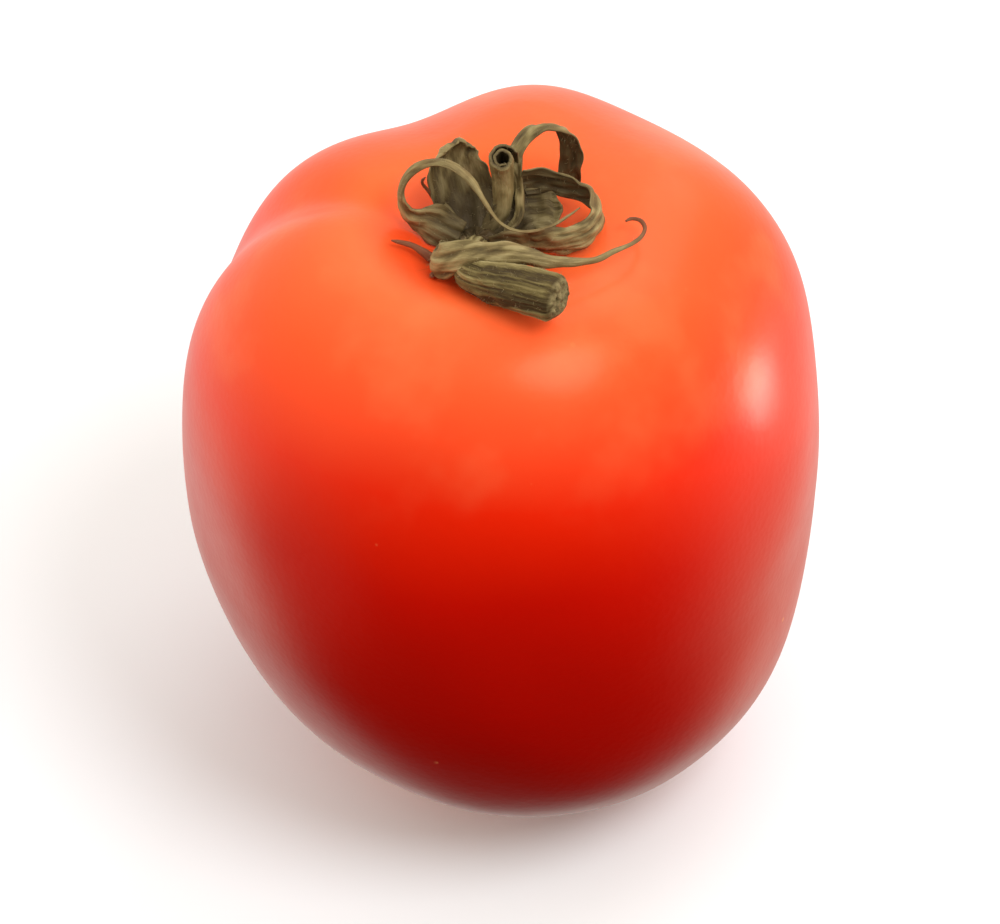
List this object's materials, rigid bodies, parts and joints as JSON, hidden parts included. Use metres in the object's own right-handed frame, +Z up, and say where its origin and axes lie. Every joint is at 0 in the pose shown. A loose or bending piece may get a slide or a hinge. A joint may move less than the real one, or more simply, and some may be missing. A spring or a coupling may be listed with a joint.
{
  "type": "plum tomato",
  "caption": "Whole ripe plum tomato standing on its blossom end, with a dried curled calyx and a short stalk stub.",
  "frame": {"origin": "centre of the flat spot at the blossom end that the fruit rests on", "axes": "+Z up along the fruit, from the flat spot to the stem; the stalk stub points to -Y, which is the front; +X right"},
  "size_m": [0.059, 0.0585, 0.0746],
  "materials": {
    "skin": "smooth waxy tomato skin, glossy, orange-red at the shoulders and deeper red below",
    "dried_calyx": "dry, wrinkled, olive brown",
    "dried_stalk": "dry ridged stalk, olive brown, fibrous at the cut"
  },
  "bodies": {
    "root": {"fruit": "skin", "calyx_hub": "dried_calyx", "stalk_stub": "dried_stalk", "sepal_left_spike": "dried_calyx", "sepal_left_loop": "dried_calyx", "sepal_back_left": "dried_calyx", "sepal_rolled": "dried_calyx", "sepal_back_loop": "dried_calyx", "sepal_back_right": "dried_calyx", "sepal_right_ring": "dried_calyx", "sepal_front_long": "dried_calyx"}
  },
  "joints": []
}
